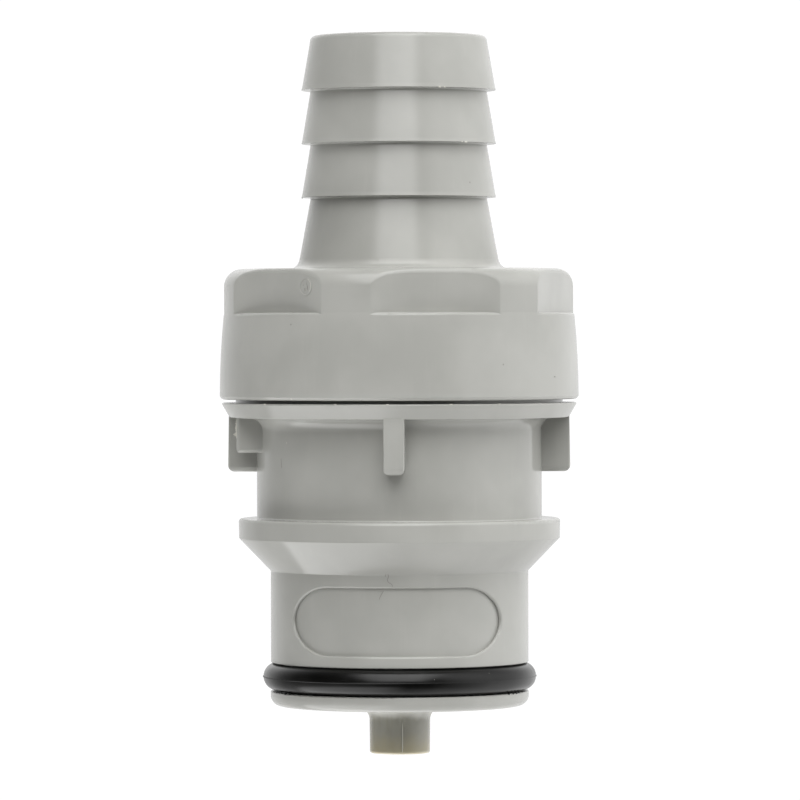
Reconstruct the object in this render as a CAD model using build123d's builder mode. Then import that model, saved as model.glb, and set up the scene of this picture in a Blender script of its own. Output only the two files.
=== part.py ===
from build123d import *
import math
import os

# In-line quick disconnect insert: hose-barb end at z = 0, sealing nose and
# poppet stem at the top.  Millimetres, +Z along the flow axis.

os.makedirs("parts", exist_ok=True)

# ---------------------------------------------------------------- hose barb
BORE_R = 6.2            # flow bore through the barbs
BORE_TOP_Z = 18.0
BARB_START_R = 7.69
BARB_ROOT_R = 7.74
BARB_CREST_R = 8.56
BARB_1_Z = 4.81
BARB_2_Z = 9.52
BARB_3_Z = 14.21
BARB_LIP = 0.32         # last bit before each crest flares a little more
CONE_END_R = 8.894      # long cone where it meets the collar's face

# ------------------------------------------------------------------- collar
COLLAR_FACE_Z = 20.47
COLLAR_WALL_R = 15.39
COLLAR_BELLY_R = 15.64
COLLAR_MAX_R = 15.77
COLLAR_END_Z = 31.89
COLLAR_SHOULDER_RAD = 1.6
COLLAR_LIP = 0.28       # small chamfer round the open rim
LEDGE_Z = 24.33         # where the wrench flats stop
LEDGE_RAD = 0.25
FLAT_AF = 28.60         # across flats
FLAT_EASE = 0.45        # rounding of the flats' outlines
MARK_Z = 22.07
MARK_R = 0.80
FLAT_ANGLE = 15.5       # direction of one flat's normal, from +X
SOCKET_R = 12.65
SOCKET_Z = 24.50
FLARE_R = 9.30

# ------------------------------------------------------------- insert body
SPIGOT_R = 12.60
SPIGOT_Z = 25.00
WELD_R = 14.37          # shoulder under the collar, sets the gap
FLANGE1_TOP_Z = 32.19
FLANGE1_R = 15.64
FLANGE1_LOW_R = 14.89
FLANGE1_LOW_Z = 33.50
NECK_R = 12.52
FLANGE2_Z = 42.36
FLANGE2_R = 14.13
FLANGE2_LOW_R = 14.09
FLANGE2_LOW_Z = 44.08
PLUG_R = 11.32
PLUG_Z = 46.95
GROOVE_R = 9.45
GROOVE_Z0 = 55.01
GROOVE_Z1 = 57.48
NOSE_R = 11.34
NOSE_Z = 58.80
NOSE_RAD = 0.90
CHAMBER_R = 9.80
CHAMBER_Z = 27.00
SEAT_Z0 = 53.00
SEAT_Z1 = 55.40
PORT_R = 7.40
GUIDE_POCKET_R = 11.40

RIB_W = 1.80
RIB_TOP_R = 14.94
RIB_END_R = 15.02
RIB_END_Z = 38.26
RIB_CORNER = 0.50
RIB_EDGE = 0.15
RIB_ANGLES = (-90.0, 180.0, 90.0, 0.0)
STUB_FACE_Y = -4.20     # short rib, square to the panel's side
STUB_W = 1.80
STUB_OUT_X = 14.09
STUB_END_Z = 36.52
STUB_CORNER = 0.28
STUB_EASE = 0.34        # rounding of its front edges

PANEL_Z0 = 48.10
PANEL_Z1 = 53.99
PANEL_W = 17.64
PANEL_FLOOR_R = 10.96
PANEL_RIM = 0.18

# ------------------------------------------------------------ plug o-ring
ORING_SECTION_R = 1.20
ORING_R = 10.78         # centre of the section
ORING_Z = 56.225

# ----------------------------------------------------------------- poppet
STEM_TIP_Z = 63.00
STEM_TIP_R = 2.64
STEM_BASE_R = 2.68
HEAD_Z = 59.00
HEAD_R = 7.10
HEAD_LOW_Z = 55.30
GLAND_LIP_R = 7.75
GLAND_Z1 = 54.55
GLAND_Z0 = 52.72
GLAND_FLOOR_R = 6.95
BACK_R = 8.40
SPRING_TOP_Z = 51.00
LOCATOR_R = 4.40
LOCATOR_Z = 48.00
SHANK_R = 2.40
SHANK_END_Z = 30.00

# ------------------------------------------------------------- valve seal
SEAL_R = 7.87
SEAL_Z = 53.64
SEAL_SECTION_R = 0.89

# ------------------------------------------------------------ valve guide
GUIDE_RING_OUT_R = 11.35
GUIDE_RING_IN_R = 9.30
GUIDE_Z0 = 24.50
GUIDE_Z1 = 27.00
GUIDE_HUB_R = 6.00
SPRING_SEAT_Z = 28.50
GUIDE_TUBE_R = 4.00
GUIDE_TUBE_Z = 34.00
GUIDE_BORE_R = 2.46
SPOKE_W = 1.40

# ----------------------------------------------------------- valve spring
WIRE_R = 0.45
SPRING_R = 5.20
END_PITCH = 0.96
TURNS = 9


def radial_plane(angle):
    """Plane holding the axis and the given direction; local y is +Z."""
    c = math.cos(math.radians(angle))
    s = math.sin(math.radians(angle))
    return Plane(origin=(0, 0, 0), x_dir=(c, s, 0), z_dir=(s, -c, 0))


# ================================================================ adapter
# Outline of the barbs and the collar's face, bore side first.
barb_outline = [
    (BORE_R, BORE_TOP_Z, 1.5),
    (BORE_R, 0.0, 0.30),
    (BARB_START_R, 0.0, 0.50),
    (BARB_CREST_R - 0.095, BARB_1_Z - BARB_LIP, 0.20),
    (BARB_CREST_R - 0.01, BARB_1_Z, 0.04),
    (BARB_ROOT_R, BARB_1_Z, 0.12),
    (BARB_CREST_R - 0.085, BARB_2_Z - BARB_LIP, 0.20),
    (BARB_CREST_R, BARB_2_Z, 0.04),
    (BARB_ROOT_R, BARB_2_Z, 0.12),
    (BARB_CREST_R - 0.085, BARB_3_Z - BARB_LIP, 0.20),
    (BARB_CREST_R, BARB_3_Z, 0.04),
    (BARB_ROOT_R, BARB_3_Z, 0.12),
    (CONE_END_R, COLLAR_FACE_Z, 1.00),
    (COLLAR_WALL_R, COLLAR_FACE_Z, COLLAR_SHOULDER_RAD),
]
rim45 = LEDGE_RAD * (1 - math.cos(math.radians(45)))
WALL_R2 = COLLAR_WALL_R + 0.026          # collar wall just past the ledge

with BuildPart() as hose_barb_adapter:
    # barbs, cone and the collar's upper block
    with BuildSketch(Plane.XZ):
        with BuildLine():
            FilletPolyline(
                (FLARE_R, SOCKET_Z),
                *[(r, z) for r, z, f in barb_outline],
                (COLLAR_WALL_R, LEDGE_Z),
                radius=[f for r, z, f in barb_outline],
            )
            Polyline(
                (COLLAR_WALL_R, LEDGE_Z),
                (WALL_R2, LEDGE_Z + LEDGE_RAD),
                (SOCKET_R + 0.55, LEDGE_Z + LEDGE_RAD),
                (SOCKET_R + 0.55, SOCKET_Z),
                (FLARE_R, SOCKET_Z),
            )
        make_face()
    revolve(axis=Axis.Z)
    # six wrench flats
    with BuildSketch(Plane.XY.offset(COLLAR_FACE_Z - 1.0)):
        Circle(COLLAR_MAX_R + 2.0)
        RegularPolygon(FLAT_AF / 2, 6, major_radius=False,
                       rotation=FLAT_ANGLE - 30.0, mode=Mode.SUBTRACT)
    extrude(amount=LEDGE_Z - COLLAR_FACE_Z + 2.0, mode=Mode.SUBTRACT)
    # the flats' outlines are eased where they meet the round collar
    flats = [f for f in hose_barb_adapter.faces().filter_by(GeomType.PLANE)
             if abs(f.normal_at().Z) < 0.01]
    outlines = [e for f in flats for e in f.edges()
                if e.center().Z < LEDGE_Z + LEDGE_RAD - 0.01]
    print("flats", len(flats), "outline edges", len(outlines))
    fillet(outlines, FLAT_EASE)
    # collar's lower ring: the flats end on its face, whose rim is rounded
    with BuildSketch(Plane.XZ):
        with BuildLine():
            Polyline(
                (SOCKET_R, SOCKET_Z),
                (SOCKET_R + 0.30, LEDGE_Z),
                (COLLAR_WALL_R - LEDGE_RAD, LEDGE_Z),
            )
            ThreePointArc(
                (COLLAR_WALL_R - LEDGE_RAD, LEDGE_Z),
                (COLLAR_WALL_R - rim45, LEDGE_Z + rim45),
                (WALL_R2, LEDGE_Z + LEDGE_RAD),
            )
            ThreePointArc(
                (WALL_R2, LEDGE_Z + LEDGE_RAD),
                (COLLAR_BELLY_R, 27.45),
                (COLLAR_MAX_R, COLLAR_END_Z - COLLAR_LIP),
            )
            Polyline(
                (COLLAR_MAX_R, COLLAR_END_Z - COLLAR_LIP),
                (COLLAR_MAX_R - 0.15, COLLAR_END_Z - 0.07),
                (COLLAR_MAX_R - COLLAR_LIP, COLLAR_END_Z),
                (SOCKET_R, COLLAR_END_Z),
                (SOCKET_R, SOCKET_Z),
            )
        make_face()
    revolve(axis=Axis.Z)
    # small plain raised ring left by the mould on one flat
    flat_dir = -90.0 + 45.5
    c, s = math.cos(math.radians(flat_dir)), math.sin(math.radians(flat_dir))
    across = (math.sin(math.radians(flat_dir)), -math.cos(math.radians(flat_dir)))
    mark_x = FLAT_AF / 2 * c + 3.7 * across[0]
    mark_y = FLAT_AF / 2 * s + 3.7 * across[1]
    with BuildSketch(Plane(origin=(mark_x, mark_y, MARK_Z),
                           x_dir=(0, 0, 1), z_dir=(c, s, 0))):
        Circle(MARK_R)
        Circle(MARK_R - 0.18, mode=Mode.SUBTRACT)
    extrude(amount=0.06)
    with BuildSketch(Plane(origin=(mark_x, mark_y, MARK_Z),
                           x_dir=(0, 0, 1), z_dir=(c, s, 0))):
        Circle(0.20)
    extrude(amount=0.05)
hose_barb_adapter.part.label = "hose_barb_adapter"
export_step(hose_barb_adapter.part, "parts/hose_barb_adapter.step")

# ============================================================ insert body
body_outline = [
    (SPIGOT_R, SPIGOT_Z, 0.40),
    (SPIGOT_R, COLLAR_END_Z, 0.0),
    (WELD_R, COLLAR_END_Z, 0.0),
    (WELD_R, FLANGE1_TOP_Z, 0.0),
    (FLANGE1_R, FLANGE1_TOP_Z, 0.10),
    (FLANGE1_LOW_R, FLANGE1_LOW_Z, 0.14),
    (NECK_R, FLANGE1_LOW_Z, 1.15),
    (NECK_R, FLANGE2_Z, 0.15),
    (FLANGE2_R, FLANGE2_Z, 0.28),
    (FLANGE2_LOW_R, FLANGE2_LOW_Z, 0.10),
    (PLUG_R, PLUG_Z, 0.12),
    (PLUG_R, GROOVE_Z0, 0.12),
    (GROOVE_R, GROOVE_Z0, 0.25),
    (GROOVE_R, GROOVE_Z1, 0.25),
    (NOSE_R, GROOVE_Z1, 0.12),
    (NOSE_R, NOSE_Z, NOSE_RAD),
    (PORT_R, NOSE_Z, 0.20),
    (PORT_R, SEAT_Z1, 0.20),
    (CHAMBER_R, SEAT_Z0, 0.0),
    (CHAMBER_R, CHAMBER_Z, 0.0),
    (GUIDE_POCKET_R, CHAMBER_Z, 0.0),
    (GUIDE_POCKET_R, SPIGOT_Z, 0.20),
]

with BuildPart() as insert_body:
    # long ribs under the first flange, and one short one
    for angle in RIB_ANGLES:
        end_z, corner = RIB_END_Z, RIB_CORNER
        c, s = math.cos(math.radians(angle)), math.sin(math.radians(angle))
        top_z = FLANGE1_LOW_Z - 0.6
        h = RIB_W / 2
        # plan of the rib, with its two outer edges eased
        with BuildSketch(Plane(origin=(0, 0, top_z), x_dir=(c, s, 0), z_dir=(0, 0, 1))):
            with BuildLine():
                FilletPolyline((11.8, -h), (RIB_END_R, -h), (RIB_END_R, h), (11.8, h),
                               radius=[0, RIB_EDGE, RIB_EDGE, 0], close=True)
            make_face()
        extrude(amount=end_z - top_z)
        # rounded lower corners, seen square on
        with BuildSketch(Plane(origin=(11.7 * c, 11.7 * s, 0),
                               x_dir=(-s, c, 0), z_dir=(c, s, 0))):
            with BuildLine():
                Polyline((-h - 0.3, end_z - 1.5), (h + 0.3, end_z - 1.5),
                         (h + 0.3, end_z + 0.5), (-h - 0.3, end_z + 0.5), close=True)
            make_face()
            with BuildLine():
                FilletPolyline((-h, end_z - 2.0), (-h, end_z), (h, end_z), (h, end_z - 2.0),
                               radius=[0, corner, corner, 0], close=True)
            make_face(mode=Mode.SUBTRACT)
        extrude(amount=4.0, mode=Mode.SUBTRACT)
        with BuildSketch(radial_plane(angle)):
            with BuildLine():
                FilletPolyline((RIB_TOP_R, top_z), (RIB_END_R, end_z),
                               (RIB_END_R - 2.0, end_z + 0.001),
                               (RIB_END_R - 2.0, end_z + 1.0),
                               (RIB_END_R + 1.0, end_z + 1.0),
                               (RIB_END_R + 1.0, top_z),
                               radius=[0, corner + 0.08, 0, 0, 0, 0], close=True)
            make_face()
        extrude(amount=h + 0.2, both=True, mode=Mode.SUBTRACT)
    with BuildSketch(Plane.XZ.offset(-STUB_FACE_Y - STUB_W)):
        with BuildLine():
            FilletPolyline((11.0, FLANGE1_LOW_Z - 0.5), (STUB_OUT_X, FLANGE1_LOW_Z - 0.5),
                           (STUB_OUT_X, STUB_END_Z), (11.0, STUB_END_Z),
                           radius=[0, 0, STUB_CORNER, 0], close=True)
        make_face()
    extrude(amount=STUB_W)
    # its front edges are rounded: the lower one, then the outer one
    e = STUB_EASE
    e45 = e * (1 - math.cos(math.radians(45)))
    with BuildSketch(Plane.YZ.offset(10.6)):
        with BuildLine():
            ThreePointArc((STUB_FACE_Y, STUB_END_Z - e),
                          (STUB_FACE_Y + e45, STUB_END_Z - e45),
                          (STUB_FACE_Y + e, STUB_END_Z))
            Polyline((STUB_FACE_Y + e, STUB_END_Z), (STUB_FACE_Y + e, STUB_END_Z + 0.4),
                     (STUB_FACE_Y - 0.4, STUB_END_Z + 0.4), (STUB_FACE_Y - 0.4, STUB_END_Z - e),
                     (STUB_FACE_Y, STUB_END_Z - e))
        make_face()
    extrude(amount=4.2, mode=Mode.SUBTRACT)
    with BuildSketch(Plane.XY.offset(FLANGE1_LOW_Z - 0.6)):
        with BuildLine():
            ThreePointArc((STUB_OUT_X - e, STUB_FACE_Y),
                          (STUB_OUT_X - e45, STUB_FACE_Y + e45),
                          (STUB_OUT_X, STUB_FACE_Y + e))
            Polyline((STUB_OUT_X, STUB_FACE_Y + e), (STUB_OUT_X + 0.4, STUB_FACE_Y + e),
                     (STUB_OUT_X + 0.4, STUB_FACE_Y - 0.4), (STUB_OUT_X - e, STUB_FACE_Y - 0.4),
                     (STUB_OUT_X - e, STUB_FACE_Y))
        make_face()
    extrude(amount=STUB_END_Z - FLANGE1_LOW_Z + 1.0, mode=Mode.SUBTRACT)
    with BuildSketch(Plane.XZ):
        with BuildLine():
            FilletPolyline(*[(r, z) for r, z, f in body_outline],
                           radius=[f for r, z, f in body_outline], close=True)
        make_face()
    revolve(axis=Axis.Z)
    # recessed rating panel with rounded ends, drawn out along -Y
    with BuildSketch(Plane.XZ.offset(6.0)):
        with Locations((0, (PANEL_Z0 + PANEL_Z1) / 2)):
            SlotOverall(PANEL_W, PANEL_Z1 - PANEL_Z0)
    extrude(amount=10.0, mode=Mode.SUBTRACT)
    with BuildSketch(Plane.XY.offset(PANEL_Z0 - 0.5)):
        Circle(PANEL_FLOOR_R)
        Circle(CHAMBER_R, mode=Mode.SUBTRACT)
    extrude(amount=SEAT_Z0 - PANEL_Z0 + 0.5)
    with BuildSketch(Plane.XY.offset(SEAT_Z0)):
        Circle(PANEL_FLOOR_R)
        Circle(CHAMBER_R, mode=Mode.SUBTRACT)
    extrude(amount=1.35)
    # panel rim
    rim = [e for e in insert_body.edges()
           if PANEL_Z0 - 0.01 <= e.center().Z <= PANEL_Z1 + 0.01
           and e.center().Y < -5.0 and abs(e.center().X) < 9.0
           and abs(math.hypot((e @ 0.5).X, (e @ 0.5).Y) - PLUG_R) < 0.02]
    print("panel rim edges", len(rim), [round(e.length, 2) for e in rim])
    fillet(rim, PANEL_RIM)
insert_body.part.label = "insert_body"
export_step(insert_body.part, "parts/insert_body.step")

# ============================================================ plug o-ring
with BuildPart() as plug_oring:
    with BuildSketch(Plane.XZ):
        with Locations((ORING_R, ORING_Z)):
            Circle(ORING_SECTION_R)
        # thin parting line round the outside
        with Locations((ORING_R + ORING_SECTION_R - 0.02, ORING_Z)):
            RectangleRounded(0.16, 0.10, 0.04)
    revolve(axis=Axis.Z)
plug_oring.part.label = "plug_oring"
export_step(plug_oring.part, "parts/plug_oring.step")

# ================================================================= poppet
poppet_outline = [
    (0.0, STEM_TIP_Z, 0.0),
    (STEM_TIP_R, STEM_TIP_Z, 0.20),
    (STEM_BASE_R, HEAD_Z, 1.05),
    (HEAD_R, HEAD_Z, 0.25),
    (HEAD_R, HEAD_LOW_Z, 0.30),
    (GLAND_LIP_R, HEAD_LOW_Z - (GLAND_LIP_R - HEAD_R), 0.0),
    (GLAND_LIP_R, GLAND_Z1, 0.0),
    (GLAND_FLOOR_R, GLAND_Z1, 0.10),
    (GLAND_FLOOR_R, GLAND_Z0, 0.10),
    (BACK_R, GLAND_Z0, 0.12),
    (BACK_R, GLAND_Z0 - 0.75, 0.20),
    (6.20, SPRING_TOP_Z, 0.0),
    (LOCATOR_R, SPRING_TOP_Z, 0.0),
    (LOCATOR_R, LOCATOR_Z, 0.35),
    (SHANK_R, LOCATOR_Z, 0.30),
    (SHANK_R, SHANK_END_Z, 0.35),
    (0.0, SHANK_END_Z, 0.0),
]
with BuildPart() as poppet_valve:
    with BuildSketch(Plane.XZ):
        with BuildLine():
            FilletPolyline(*[(r, z) for r, z, f in poppet_outline],
                           radius=[f for r, z, f in poppet_outline], close=True)
        make_face()
    revolve(axis=Axis.Z)
poppet_valve.part.label = "poppet_valve"
export_step(poppet_valve.part, "parts/poppet_valve.step")

# ============================================================= valve seal
with BuildPart() as valve_seal:
    with BuildSketch(Plane.XZ):
        with Locations((SEAL_R, SEAL_Z)):
            Circle(SEAL_SECTION_R)
    revolve(axis=Axis.Z)
valve_seal.part.label = "valve_seal"
export_step(valve_seal.part, "parts/valve_seal.step")

# ============================================================ valve guide
hub_outline = [
    (GUIDE_BORE_R, GUIDE_Z0, 0.0),
    (3.60, GUIDE_Z0, 0.30),
    (GUIDE_HUB_R, GUIDE_Z0 + 1.60, 0.30),
    (GUIDE_HUB_R, SPRING_SEAT_Z, 0.15),
    (GUIDE_TUBE_R, SPRING_SEAT_Z, 0.0),
    (GUIDE_TUBE_R, GUIDE_TUBE_Z, 0.35),
    (GUIDE_BORE_R, GUIDE_TUBE_Z, 0.25),
]
with BuildPart() as valve_guide:
    with BuildSketch(Plane.XZ):
        with BuildLine():
            FilletPolyline(*[(r, z) for r, z, f in hub_outline],
                           radius=[f for r, z, f in hub_outline], close=True)
        make_face()
    revolve(axis=Axis.Z)
    with BuildSketch(Plane.XY.offset(GUIDE_Z0)):
        Circle(GUIDE_RING_OUT_R)
        Circle(GUIDE_RING_IN_R, mode=Mode.SUBTRACT)
    extrude(amount=GUIDE_Z1 - GUIDE_Z0)
    # four spokes between the hub and the ring
    for angle in (45.0, 135.0, 225.0, 315.0):
        with BuildSketch(radial_plane(angle)):
            with BuildLine():
                Polyline((4.60, GUIDE_Z1 + 0.6), (9.60, GUIDE_Z1 - 0.3),
                         (9.60, GUIDE_Z0 + 0.4), (4.60, GUIDE_Z0 + 1.7), close=True)
            make_face()
        extrude(amount=SPOKE_W / 2, both=True)
valve_guide.part.label = "valve_guide"
export_step(valve_guide.part, "parts/valve_guide.step")

# =========================================================== valve spring
# Closed end turns and an even pitch between them.
z_low = SPRING_SEAT_Z + WIRE_R
z_high = SPRING_TOP_Z - WIRE_R
active_pitch = (z_high - z_low - 2 * END_PITCH) / (TURNS - 2)
steps = 12
points = []
for i in range(TURNS * steps + 1):
    t = i / steps
    if t <= 1:
        z = z_low + END_PITCH * t
    elif t >= TURNS - 1:
        z = z_high - END_PITCH * (TURNS - t)
    else:
        z = z_low + END_PITCH + active_pitch * (t - 1)
    points.append((SPRING_R * math.cos(2 * math.pi * t),
                   SPRING_R * math.sin(2 * math.pi * t), z))
# ease the change of pitch
eased = [points[0]]
for i in range(1, len(points) - 1):
    z = (points[i - 1][2] + 2 * points[i][2] + points[i + 1][2]) / 4
    eased.append((points[i][0], points[i][1], z))
eased.append(points[-1])
with BuildPart() as valve_spring:
    with BuildLine() as wire_path:
        Spline(*eased)
    with BuildSketch(Plane(origin=wire_path.edges()[0] @ 0, x_dir=(1, 0, 0),
                           z_dir=wire_path.edges()[0] % 0)):
        Circle(WIRE_R)
    sweep(path=wire_path.wires()[0], is_frenet=True)
valve_spring.part.label = "valve_spring"
export_step(valve_spring.part, "parts/valve_spring.step")

for piece in (hose_barb_adapter, insert_body, plug_oring, poppet_valve,
              valve_seal, valve_guide, valve_spring):
    p = piece.part
    b = p.bounding_box()
    print(p.label, "solids", len(p.solids()), "valid", p.is_valid,
          "volume", round(p.volume, 2),
          [round(v, 3) for v in (b.min.X, b.min.Y, b.min.Z, b.max.X, b.max.Y, b.max.Z)])
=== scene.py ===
import math
import random
import bmesh
import bpy
from mathutils import Matrix, Vector


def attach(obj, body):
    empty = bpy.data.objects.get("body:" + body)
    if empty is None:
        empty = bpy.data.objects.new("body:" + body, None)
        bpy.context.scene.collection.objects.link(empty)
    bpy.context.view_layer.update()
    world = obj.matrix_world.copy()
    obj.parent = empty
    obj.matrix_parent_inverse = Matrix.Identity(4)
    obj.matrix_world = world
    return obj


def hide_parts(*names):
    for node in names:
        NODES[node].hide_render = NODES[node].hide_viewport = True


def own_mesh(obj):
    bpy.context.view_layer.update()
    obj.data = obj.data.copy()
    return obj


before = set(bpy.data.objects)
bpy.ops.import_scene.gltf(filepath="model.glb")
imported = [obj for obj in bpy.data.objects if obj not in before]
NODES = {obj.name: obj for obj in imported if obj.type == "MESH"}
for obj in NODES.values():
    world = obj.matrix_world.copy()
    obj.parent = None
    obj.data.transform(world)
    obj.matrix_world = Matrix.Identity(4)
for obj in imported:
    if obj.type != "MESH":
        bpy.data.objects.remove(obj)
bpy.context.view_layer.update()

MM = 0.001


# --------------------------------------------------------------- camera
# The view is level with the middle of the part, upside down, as the part
# hangs nose down in the picture while it stands on its barb end here.
def look(azimuth_deg, distance, height, target_z, roll_deg, side):
    a = math.radians(azimuth_deg)
    out = Vector((-math.sin(a), -math.cos(a), 0.0))
    right = Vector((-math.cos(a), math.sin(a), 0.0))
    loc = out * distance + right * side + Vector((0, 0, height))
    target = right * side + Vector((0, 0, target_z))
    f = (target - loc).normalized()
    up = Vector((0, 0, -1))
    r = f.cross(up).normalized()
    u = r.cross(f).normalized()
    m = Matrix((r, u, -f)).transposed().to_4x4()
    m = m @ Matrix.Rotation(math.radians(roll_deg), 4, "Z")
    m.translation = loc
    return m


cam_data = bpy.data.cameras.new("camera")
cam = bpy.data.objects.new("camera", cam_data)
bpy.context.scene.collection.objects.link(cam)
cam_data.sensor_width = 36.0
cam_data.lens = 270.0
cam_data.clip_start = 0.01
cam_data.clip_end = 10.0
cam.matrix_world = look(1.8, 0.5272, 0.02584, 0.03199, -0.12, 0.00007)
bpy.context.scene.camera = cam
bpy.context.scene.view_settings.view_transform = "Standard"
bpy.context.scene.view_settings.look = "None"


# ---------------------------------------------------------------- lights
# A soft studio built in the world shader.  Directions are given in the
# picture's terms: az to its right, el up, both from the camera's direction.
def direction(az, el):
    a, e = math.radians(az), math.radians(el)
    return Vector((-math.sin(a) * math.cos(e), -math.cos(a) * math.cos(e), -math.sin(e)))


world = bpy.data.worlds.new("studio")
bpy.context.scene.world = world
world.use_nodes = True
nt = world.node_tree
nt.nodes.clear()
w_out = nt.nodes.new("ShaderNodeOutputWorld")
tc = nt.nodes.new("ShaderNodeTexCoord")
SKY = tc.outputs["Generated"]


def w_dot(v):
    n = nt.nodes.new("ShaderNodeVectorMath")
    n.operation = "DOT_PRODUCT"
    nt.links.new(SKY, n.inputs[0])
    n.inputs[1].default_value = v
    return n.outputs["Value"]


def w_math(op, *args):
    n = nt.nodes.new("ShaderNodeMath")
    n.operation = op
    for i, a in enumerate(args):
        if isinstance(a, (int, float)):
            n.inputs[i].default_value = a
        else:
            nt.links.new(a, n.inputs[i])
    return n.outputs[0]


def w_step(value, lo, hi):
    n = nt.nodes.new("ShaderNodeMapRange")
    n.interpolation_type = "SMOOTHSTEP"
    n.inputs["From Min"].default_value = lo
    n.inputs["From Max"].default_value = hi
    nt.links.new(value, n.inputs["Value"])
    return n.outputs["Result"]


def edge(v, half, offset=0.0):
    """Soft edge of a flat: 0 on one side of a plane, 1 on the other."""
    return w_step(w_dot(v), offset - half, offset + half)


def softbox(az, el, u0, u1, v0, v1, su, sv):
    """Soft-edged rectangle facing the part, edges in tangents of the angle."""
    n = direction(az, el)
    a = math.radians(az)
    u = Vector((-math.cos(a), math.sin(a), 0.0))
    v = n.cross(u)
    if v.z > 0:
        v = -v
    dn = w_dot(n)
    s = w_math("MAXIMUM", dn, 0.01)
    p = w_math("DIVIDE", w_dot(u), s)
    q = w_math("DIVIDE", w_dot(v), s)
    return product(
        w_step(p, u0 - su / 2, u0 + su / 2),
        w_math("SUBTRACT", 1.0, w_step(p, u1 - su / 2, u1 + su / 2)),
        w_step(q, v0 - sv / 2, v0 + sv / 2),
        w_math("SUBTRACT", 1.0, w_step(q, v1 - sv / 2, v1 + sv / 2)),
        w_math("GREATER_THAN", dn, 0.02),
    )


def product(first, *rest):
    for x in rest:
        first = w_math("MULTIPLY", first, x)
    return first


def glow(az, el, sharp):
    """Round soft glow on a distant wall."""
    return w_math("EXPONENT", w_math("MULTIPLY_ADD", w_dot(direction(az, el)), sharp, -sharp))


c42, s42 = math.cos(math.radians(42)), math.sin(math.radians(42))
SOURCES = [
    # big softbox over the camera, a little brighter right of its middle
    (softbox(0, 45, -0.48, 0.44, -0.56, 0.75, 0.34, 0.08), 2.71),
    (softbox(0, 45, -0.20, 0.44, -0.56, 0.75, 0.50, 0.08), 0.19),
    # bright panel under the nose on the left, sharp along its far edge
    (product(edge((-0.278, -0.662, 0.696), 0.035),
             edge((0, 0, 1), 0.12, 0.56), edge((1, 0, 0), 0.20, 0.06)), 2.15),
    (product(edge((0, 0, 1), 0.15, 0.75), edge((-1, 0, 0), 0.15, 0.05)), 0.34),
    # white wall on the right
    (product(edge((-c42, s42, 0), 0.10), glow(85, 5, 2.5)), 0.89),
]
GLOWS = [
    # az, el, radiance
    (-180, -62, 0.51), (60, -62, 0.34), (120, -62, 0.34),
    (-180, -32, 0.66), (-140, -32, 0.10), (-100, -32, 0.36), (-60, -32, 0.48), (100, -32, 0.76), (140, -32, 0.21),
    (-144, 0, 0.64), (108, 0, 0.12), (144, 0, 0.73),
    (-180, 32, 1.12), (-140, 32, 0.43), (60, 32, 0.58), (100, 32, 0.34),
    (0, 62, 0.79), (60, 62, 0.54),
]
total = None
for source, rad in SOURCES:
    total = w_math("MULTIPLY", source, rad) if total is None else w_math("MULTIPLY_ADD", source, rad, total)
for az, el, rad in GLOWS:
    total = w_math("MULTIPLY_ADD", glow(az, el, 9.0), rad, total)

bg = nt.nodes.new("ShaderNodeBackground")
bg.inputs["Color"].default_value = (1, 1, 1, 1)
nt.links.new(total, bg.inputs["Strength"])
bg_cam = nt.nodes.new("ShaderNodeBackground")
bg_cam.inputs["Color"].default_value = (1, 1, 1, 1)
bg_cam.inputs["Strength"].default_value = 1.05
lp = nt.nodes.new("ShaderNodeLightPath")
mix = nt.nodes.new("ShaderNodeMixShader")
nt.links.new(lp.outputs["Is Camera Ray"], mix.inputs[0])
nt.links.new(bg.outputs[0], mix.inputs[1])
nt.links.new(bg_cam.outputs[0], mix.inputs[2])
nt.links.new(mix.outputs[0], w_out.inputs["Surface"])


# ---------------------------------------------------------------- floor
floor_mesh = bpy.data.meshes.new("floor")
s = 3.0
floor_mesh.from_pydata([(-s, -s, 0), (s, -s, 0), (s, s, 0), (-s, s, 0)], [], [(0, 1, 2, 3)])
floor = bpy.data.objects.new("floor", floor_mesh)
bpy.context.scene.collection.objects.link(floor)
floor.location.z = -0.00005
floor.visible_diffuse = False
floor.visible_glossy = False
floor.visible_shadow = False
floor.visible_transmission = False
fm = bpy.data.materials.new("floor_white")
fm.use_nodes = True
ft = fm.node_tree
ft.nodes.clear()
f_out = ft.nodes.new("ShaderNodeOutputMaterial")
em = ft.nodes.new("ShaderNodeEmission")
em.inputs["Strength"].default_value = 1.05
ft.links.new(em.outputs[0], f_out.inputs["Surface"])
floor_mesh.materials.append(fm)


# -------------------------------------------------------------- materials
def srgb(h):
    out = []
    for i in (0, 2, 4):
        c = int(h[i:i + 2], 16) / 255
        out.append(c / 12.92 if c <= 0.04045 else ((c + 0.055) / 1.055) ** 2.4)
    return tuple(out) + (1.0,)


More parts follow.
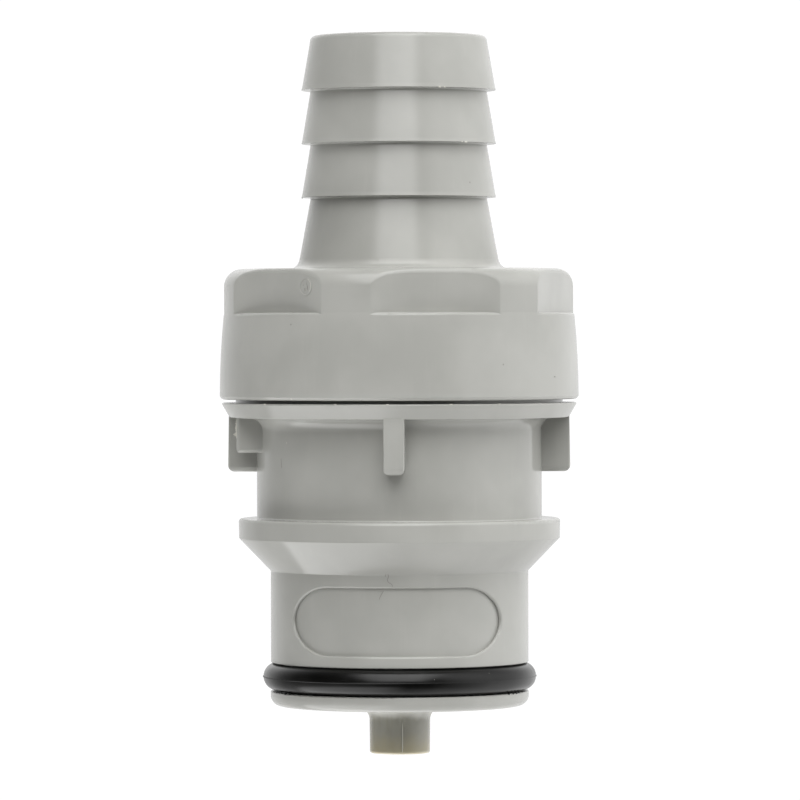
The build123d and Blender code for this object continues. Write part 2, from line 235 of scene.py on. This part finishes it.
class Mat:
    """Small helper round one material's node tree."""

    def __init__(self, name):
        self.mat = bpy.data.materials.new(name)
        self.mat.use_nodes = True
        self.t = self.mat.node_tree
        self.t.nodes.clear()
        out = self.t.nodes.new("ShaderNodeOutputMaterial")
        self.bsdf = self.t.nodes.new("ShaderNodeBsdfPrincipled")
        self.t.links.new(self.bsdf.outputs[0], out.inputs["Surface"])
        self.obj = self.t.nodes.new("ShaderNodeTexCoord").outputs["Object"]

    def put(self, socket, value):
        if hasattr(value, "links"):
            self.t.links.new(value, socket)
        else:
            socket.default_value = value

    def stretched(self, scale):
        n = self.t.nodes.new("ShaderNodeVectorMath")
        n.operation = "MULTIPLY"
        self.t.links.new(self.obj, n.inputs[0])
        n.inputs[1].default_value = scale
        return n.outputs[0]

    def noise(self, scale, detail=2.0, rough=0.5, vector=None):
        n = self.t.nodes.new("ShaderNodeTexNoise")
        n.inputs["Scale"].default_value = scale
        n.inputs["Detail"].default_value = detail
        n.inputs["Roughness"].default_value = rough
        self.t.links.new(vector or self.obj, n.inputs["Vector"])
        return n.outputs["Fac"]

    def ramp(self, value, lo, hi, to_lo=0.0, to_hi=1.0):
        n = self.t.nodes.new("ShaderNodeMapRange")
        n.interpolation_type = "SMOOTHSTEP"
        self.put(n.inputs["Value"], value)
        n.inputs["From Min"].default_value = lo
        n.inputs["From Max"].default_value = hi
        n.inputs["To Min"].default_value = to_lo
        n.inputs["To Max"].default_value = to_hi
        return n.outputs["Result"]

    def math(self, op, *args):
        n = self.t.nodes.new("ShaderNodeMath")
        n.operation = op
        for i, a in enumerate(args):
            self.put(n.inputs[i], a)
        return n.outputs[0]

    def mix(self, fac, a, b):
        n = self.t.nodes.new("ShaderNodeMix")
        n.data_type = "RGBA"
        self.put(n.inputs["Factor"], fac)
        self.put(n.inputs[6], a)
        self.put(n.inputs[7], b)
        return n.outputs[2]

    def axis(self, name):
        n = self.t.nodes.new("ShaderNodeSeparateXYZ")
        self.t.links.new(self.obj, n.inputs[0])
        return n.outputs[name]

    def specks(self, scale, size, share):
        """Sparse small round dots, 1 inside a dot."""
        v = self.t.nodes.new("ShaderNodeTexVoronoi")
        v.inputs["Scale"].default_value = scale
        self.t.links.new(self.obj, v.inputs["Vector"])
        sep = self.t.nodes.new("ShaderNodeSeparateColor")
        self.t.links.new(v.outputs["Color"], sep.inputs[0])
        dot = self.ramp(v.outputs["Distance"], size * 0.6, size, 1.0, 0.0)
        return self.math("MULTIPLY", dot, self.math("GREATER_THAN", sep.outputs[0], 1.0 - share))

    def bump(self, *layers):
        """layers: (height socket, distance in mm)"""
        normal = None
        for height, mm in layers:
            n = self.t.nodes.new("ShaderNodeBump")
            n.inputs["Strength"].default_value = 1.0
            n.inputs["Distance"].default_value = mm * MM
            self.t.links.new(height, n.inputs["Height"])
            if normal:
                self.t.links.new(normal, n.inputs["Normal"])
            normal = n.outputs[0]
        self.t.links.new(normal, self.bsdf.inputs["Normal"])

    def set(self, name, value):
        self.put(self.bsdf.inputs[name], value)


def moulded(name, light, dark, rough, mark_colour="6f6e66"):
    """Glossy injection-moulded plastic: faint clouding and flow lines, fine
    skin texture, drag marks from the mould, a few trapped specks."""
    m = Mat(name)
    cloud = m.noise(150, 3)
    flow = m.noise(900, 3, 0.6, m.stretched((1.0, 1.0, 0.10)))
    colour = m.mix(m.ramp(cloud, 0.3, 0.7), srgb(light), srgb(dark))
    colour = m.mix(m.ramp(flow, 0.56, 0.78, 0.0, 0.07), colour, srgb("c9c9c3"))
    colour = m.mix(m.ramp(m.noise(420, 4, 0.6), 0.60, 0.80, 0.0, 0.22), colour, srgb(dark))
    specks = m.specks(330, 0.035, 0.10)
    colour = m.mix(m.math("MULTIPLY", specks, 0.42), colour, srgb(mark_colour))
    m.set("Base Color", colour)
    gloss = m.math("ADD", m.ramp(m.noise(520, 4, 0.6), 0.25, 0.75, rough - 0.025, rough + 0.035),
                   m.ramp(flow, 0.5, 0.8, 0.0, 0.03))
    m.set("Roughness", gloss)
    m.set("IOR", 1.48)
    m.bump((m.noise(3200, 2), 0.0008), (m.noise(420, 2), 0.0035),
           (m.noise(1400, 1, 0.5, m.stretched((1.0, 1.0, 0.06))), 0.0006))
    return m


body = moulded("moulded_plastic", "b2b2ad", "a9a9a4", 0.125)

# the poppet is a warmer resin that yellows toward the tip
stem = Mat("poppet_plastic")
z = stem.axis("Z")
base = stem.mix(stem.ramp(stem.noise(300, 3), 0.3, 0.7), srgb("a7a69d"), srgb("9b9a91"))
tip = stem.ramp(stem.math("ADD", z, stem.ramp(stem.noise(700, 2), 0.0, 1.0, -0.0006, 0.0006)), 0.0608, 0.0630, 0.0, 0.75)
base = stem.mix(tip, base, srgb("aba388"))
x2 = stem.math("MULTIPLY", stem.axis("X"), stem.axis("X"))
y2 = stem.math("MULTIPLY", stem.axis("Y"), stem.axis("Y"))
radius = stem.math("SQRT", stem.math("ADD", x2, y2))
# painted highlight: a pale rim painted round the outer edge of the stem's tip
tip_rim_highlight = stem.math("MULTIPLY", stem.ramp(z, 0.06268, 0.06298, 0.0, 0.8), stem.ramp(radius, 0.00215, 0.00250))
base = stem.mix(tip_rim_highlight, base, srgb("ddd5bd"))
# painted reflection: the stem's root, moulded into the thin head, is painted paler to stand in for the bright
# reflection on its fillet
root_reflection_band = stem.ramp(stem.math("ADD", z, stem.ramp(stem.noise(500, 2), 0.3, 0.7, -0.0002, 0.0002)), 0.0592, 0.0601, 0.75, 0.0)
root_reflection = stem.math("MULTIPLY", root_reflection_band, stem.ramp(radius, 0.0028, 0.0040, 1.0, 0.0))
base = stem.mix(root_reflection, base, srgb("cfcec7"))
base = stem.mix(stem.ramp(stem.noise(900, 3, 0.6, stem.stretched((1.0, 1.0, 0.12))), 0.55, 0.75, 0.0, 0.3), base, srgb("8b8776"))
stem.set("Base Color", base)
stem.set("Roughness", stem.ramp(stem.noise(600, 4), 0.25, 0.75, 0.16, 0.26))
stem.set("IOR", 1.48)
stem.set("Subsurface Weight", 0.25)
stem.set("Subsurface Radius", (1.0, 0.9, 0.65))
stem.set("Subsurface Scale", 0.0006)
stem.bump((stem.noise(2600, 2), 0.0012), (stem.noise(500, 2), 0.004))

# nitrile rubber with a slight bloom and dust
rubber = Mat("black_rubber")
col = rubber.mix(rubber.ramp(rubber.noise(420, 4), 0.35, 0.7), srgb("0a0a09"), srgb("141413"))
col = rubber.mix(rubber.math("MULTIPLY", rubber.specks(1500, 0.10, 0.05), 0.6), col, srgb("6a6963"))
rubber.set("Base Color", col)
rubber.set("Roughness", rubber.ramp(rubber.noise(650, 4, 0.6), 0.25, 0.75, 0.17, 0.27))
rubber.set("IOR", 1.38)
rubber.bump((rubber.noise(2200, 3), 0.0016), (rubber.noise(480, 2), 0.006))

# drawn stainless wire
steel = Mat("spring_wire")
steel.set("Base Color", steel.mix(steel.noise(700, 4), srgb("bdbbb6"), srgb("a3a09a")))
steel.set("Metallic", 1.0)
steel.set("Roughness", steel.ramp(steel.noise(1800, 3), 0.25, 0.75, 0.22, 0.34))
steel.bump((steel.noise(5200, 2), 0.0012))

# thin flash is paler than the wall it grew from
flash = moulded("pale_flash", "d6d5cc", "c8c6bc", 0.22)
# the raised parting line on the stem is painted paler, a painted highlight for the little light it catches
ridge = moulded("stem_ridge", "c6c5bb", "b9b8ae", 0.20)
# scuffs and fine cracks, darker than the plastic
scuff = moulded("dark_scuff", "8d8d86", "7c7c75", 0.30)

SLOT = {
    "hose_barb_adapter": body,
    "insert_body": body,
    "plug_oring": rubber,
    "poppet_valve": stem,
    "valve_seal": rubber,
    "valve_guide": stem,
}
for name, m in SLOT.items():
    o = NODES[name]
    o.data.materials.clear()
    o.data.materials.append(m.mat)


# ---------------------------------------------------------- small pieces
FRONT = math.radians(1.8)


def around(angle, z, r):
    """Point at a height and radius in mm, angle from the front, + to the
    picture's right."""
    a = math.radians(angle)
    c = Vector((-math.sin(FRONT), -math.cos(FRONT), 0))
    q = Vector((-math.cos(FRONT), math.sin(FRONT), 0))
    p = (c * math.cos(a) + q * math.sin(a)) * r
    p.z = z
    return p * MM


def finish_piece(name, bm, mat, node_body="coupling_body", smooth=True):
    me = bpy.data.meshes.new(name)
    bmesh.ops.recalc_face_normals(bm, faces=bm.faces)
    bm.to_mesh(me)
    bm.free()
    if smooth:
        for p in me.polygons:
            p.use_smooth = True
    o = bpy.data.objects.new(name, me)
    bpy.context.scene.collection.objects.link(o)
    me.materials.append(mat.mat)
    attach(o, node_body)
    return o


def nub(bm, rng, at, along, out, length, height, rise):
    """Irregular closed blob of moulding flash; along and out are unit."""
    side = along.cross(out).normalized()
    made = bmesh.ops.create_icosphere(bm, subdivisions=2, radius=1.0)
    for v in made["verts"]:
        k = 1.0 + rng.uniform(-0.22, 0.22)
        v.co = at + (along * (v.co.x * length) + out * (v.co.y * rise) + side * (v.co.z * height)) * (k * MM)


def tube(bm, pts, radius, sides=8):
    """Closed round tube through points in metres."""
    rings = []
    for i, p in enumerate(pts):
        a = pts[max(i - 1, 0)]
        b = pts[min(i + 1, len(pts) - 1)]
        t = (b - a).normalized()
        u = t.cross(Vector((p.x, p.y, 0)).normalized()).normalized()
        w = t.cross(u).normalized()
        r = radius * MM * (0.45 if i in (0, len(pts) - 1) else 1.0)
        rings.append([bm.verts.new(p + (u * math.cos(k * math.tau / sides) + w * math.sin(k * math.tau / sides)) * r)
                      for k in range(sides)])
    for a, b in zip(rings, rings[1:]):
        for k in range(sides):
            bm.faces.new((a[k], a[(k + 1) % sides], b[(k + 1) % sides], b[k]))
    bm.faces.new(rings[0][::-1])
    bm.faces.new(rings[-1])


def smooth_path(points, per=4):
    """Catmull-Rom curve through (angle, z, r) stations, in metres."""
    out = []
    n = len(points)
    for i in range(n - 1):
        p0, p1, p2, p3 = (points[max(i - 1, 0)], points[i], points[i + 1], points[min(i + 2, n - 1)])
        for j in range(per):
            t = j / per
            q = [0.5 * ((2 * b) + (c - a) * t + (2 * a - 5 * b + 4 * c - d) * t * t + (3 * b - a - 3 * c + d) * t ** 3)
                 for a, b, c, d in zip(p0, p1, p2, p3)]
            out.append(around(*q))
    out.append(around(*points[-1]))
    return out


rng = random.Random(11)

# flash nubs where the mould halves met: crests, collar rim, first flange
bm = bmesh.new()
NUBS = [
    # angle, z, r, length along the edge, height, rise (mm)
    (24.6, 4.80, 8.52, 0.16, 0.07, 0.07), (28.0, 4.80, 8.52, 0.10, 0.05, 0.05),
    (43.1, 9.52, 8.52, 0.18, 0.08, 0.09), (40.2, 9.52, 8.52, 0.09, 0.05, 0.05),
    (-36.2, 31.70, 15.64, 0.16, 0.09, 0.07), (-12.3, 31.76, 15.60, 0.14, 0.06, 0.05),
    (-20.6, 32.21, 15.56, 0.16, 0.05, 0.04), (-3.7, 32.21, 15.56, 0.13, 0.05, 0.04),
    (16.5, 32.21, 15.56, 0.15, 0.05, 0.04), (33.6, 32.21, 15.56, 0.17, 0.05, 0.05),
    (-48.0, 32.22, 15.58, 0.16, 0.06, 0.05), (121.0, 32.22, 15.58, 0.18, 0.07, 0.06),
    (158.0, 31.72, 15.62, 0.15, 0.06, 0.05), (-132.0, 9.52, 8.52, 0.16, 0.07, 0.07),
    (-95.0, 14.21, 8.52, 0.14, 0.06, 0.06), (-51.2, 35.60, 12.51, 0.06, 0.05, 0.03),
]
for angle, zz, r, length, height, rise in NUBS:
    at = around(angle, zz, r)
    out = Vector((at.x, at.y, 0)).normalized()
    nub(bm, rng, at, Vector((-out.y, out.x, 0)), out, length, height, rise)
finish_piece("mould_flash", bm, flash)

# ragged fin on the short rib's outer edge
bm = bmesh.new()
edge_x, y0, y1 = 14.08, -4.02, -3.90
prev = None
steps = 40
for i in range(steps + 1):
    zz = 33.62 + (35.28 - 33.62) * i / steps
    peak = 0.21 * math.exp(-((zz - 34.95) / 0.13) ** 2) + 0.07 * math.exp(-((zz - 34.3) / 0.2) ** 2)
    w = max(0.015, 0.07 + peak + rng.uniform(-0.06, 0.06)) * min(1.0, 5.0 * min(i, steps - i) / steps + 0.15)
    ring = [bm.verts.new(Vector(p) * MM) for p in (
        (edge_x - 0.16, y0, zz), (edge_x + w, y0 + 0.03, zz), (edge_x + w, y1 - 0.02, zz), (edge_x - 0.16, y1, zz))]
    if prev:
        for k in range(4):
            bm.faces.new((prev[k], prev[(k + 1) % 4], ring[(k + 1) % 4], ring[k]))
    else:
        bm.faces.new(ring[::-1])
    prev = ring
bm.faces.new(prev)
finish_piece("rib_flash", bm, flash, smooth=False)

# fine scuffs and a hair-like crack over the panel's rim
bm = bmesh.new()
HAIRS = [
    ([(-6.34, 47.085, 11.32), (-6.1, 46.90, 11.36), (-5.54, 46.74, 11.48), (-5.0, 46.88, 11.37), (-4.89, 47.04, 11.32),
      (-5.25, 47.40, 11.32), (-4.6, 47.58, 11.32), (-3.37, 47.73, 11.32), (-3.15, 47.88, 11.31), (-3.25, 48.00, 11.27)], 0.024),
    ([(-7.2, 48.28, 10.97), (-7.65, 48.434, 10.965), (-8.7, 48.771, 10.965), (-9.25, 49.065, 10.965)], 0.020),
    ([(-54.97, 36.94, 12.515), (-54.75, 37.35, 12.515), (-54.63, 37.80, 12.515)], 0.022),
    ([(142.0, 27.2, 15.63), (142.6, 27.9, 15.66), (143.8, 28.7, 15.69), (144.1, 29.3, 15.71)], 0.030),
    ([(-118.0, 39.3, 12.515), (-117.2, 40.1, 12.515), (-117.5, 40.9, 12.515)], 0.030),
]
for pts, rad in HAIRS:
    tube(bm, smooth_path(pts), rad)
for angle, zz, r, size in ((22.8, 22.85, 14.30 / math.cos(math.radians(22.8 - 27.7)), 0.075), (58.8, 29.91, 15.755, 0.075),
                           (-152.0, 30.2, 15.755, 0.07), (95.0, 51.0, 11.315, 0.06)):
    at = around(angle, zz, r)
    out = Vector((at.x, at.y, 0)).normalized()
    nub(bm, rng, at, Vector((-out.y, out.x, 0)), out, size, size * 0.8, 0.02)
finish_piece("surface_scuffs", bm, scuff)

# worn moulding mark on one hexagon flat: a plain ring with two pin scars
FLAT = math.radians(315.5)
flat_n = Vector((math.cos(FLAT), math.sin(FLAT), 0))
flat_t = Vector((math.sin(FLAT), -math.cos(FLAT), 0))
mark = flat_n * 14.30 + flat_t * 3.70 + Vector((0, 0, 22.07))


def on_mark(rho, deg, lift=0.0):
    a = math.radians(deg)
    return (mark + flat_t * (rho * math.cos(a)) - Vector((0, 0, 1)) * (rho * math.sin(a)) + flat_n * lift) * MM


bm = bmesh.new()
for start, stop, rad in ((-50, 75, 0.050), (105, 160, 0.040), (190, 285, 0.045)):
    n = max(4, int((stop - start) / 10))
    tube(bm, [on_mark(0.71 + rng.uniform(-0.012, 0.012), start + (stop - start) * i / n, 0.02) for i in range(n + 1)], rad)
finish_piece("mark_ring", bm, flash)
bm = bmesh.new()
tube(bm, [on_mark(0.46, 150, 0.0), on_mark(0.22, 170, 0.0), on_mark(0.20, 215, 0.0), on_mark(0.44, 262, 0.0)], 0.040)
tube(bm, [on_mark(0.42, 80, 0.0), on_mark(0.20, 40, 0.0), on_mark(0.24, -20, 0.0), on_mark(0.46, -55, 0.0)], 0.034)
finish_piece("mark_scars", bm, scuff)

# the mould's two parting lines on the stem, in the paler finish with its painted highlight
bm = bmesh.new()
for angle in (4.8, 184.8):
    tube(bm, [around(angle, zz, 2.66 + 0.0) for zz in (60.0, 60.6, 61.2, 61.8, 62.4, 62.78)], 0.045)
finish_piece("stem_parting_line", bm, ridge, "poppet")

# thin rubber flash that shows at the groove's lower edge
bm = bmesh.new()
for angle, r in ((-66, 11.30), (-62, 11.32), (-58.5, 11.30), (57, 11.33), (60.5, 11.36), (63.8, 11.34), (67, 11.31),
                 (118, 11.32), (-140, 11.32), (176, 11.31)):
    at = around(angle, 57.45 + rng.uniform(-0.03, 0.05), r)
    out = Vector((at.x, at.y, 0)).normalized()
    nub(bm, rng, at, Vector((-out.y, out.x, 0)), out, rng.uniform(0.12, 0.26), rng.uniform(0.05, 0.10), 0.05)
finish_piece("oring_flash", bm, rubber)

# the valve's spring, which closes up as the valve is pushed in; it is built here at one fixed length
bm = bmesh.new()
z_lo, z_hi, wire, coil, turns, end_pitch = 28.95, 50.55, 0.45, 5.20, 9, 0.96
per_turn, sides = 48, 14
active = (z_hi - z_lo - 2 * end_pitch) / (turns - 2)
rings = []
for i in range(turns * per_turn + 1):
    t = i / per_turn
    if t < 1:
        zz = z_lo + end_pitch * t
    elif t > turns - 1:
        zz = z_hi - end_pitch * (turns - t)
    else:
        zz = z_lo + end_pitch + active * (t - 1)
    a = t * math.tau
    out = Vector((math.cos(a), math.sin(a), 0))
    centre = out * coil + Vector((0, 0, zz))
    rings.append([bm.verts.new((centre + (out * math.cos(k * math.tau / sides)
                                          + Vector((0, 0, 1)) * math.sin(k * math.tau / sides)) * wire) * MM)
                  for k in range(sides)])
for a, b in zip(rings, rings[1:]):
    for k in range(sides):
        bm.faces.new((a[k], a[(k + 1) % sides], b[(k + 1) % sides], b[k]))
bm.faces.new(rings[0][::-1])
bm.faces.new(rings[-1])
spring = finish_piece("coil_spring", bm, steel)
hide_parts("valve_spring")
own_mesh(spring)
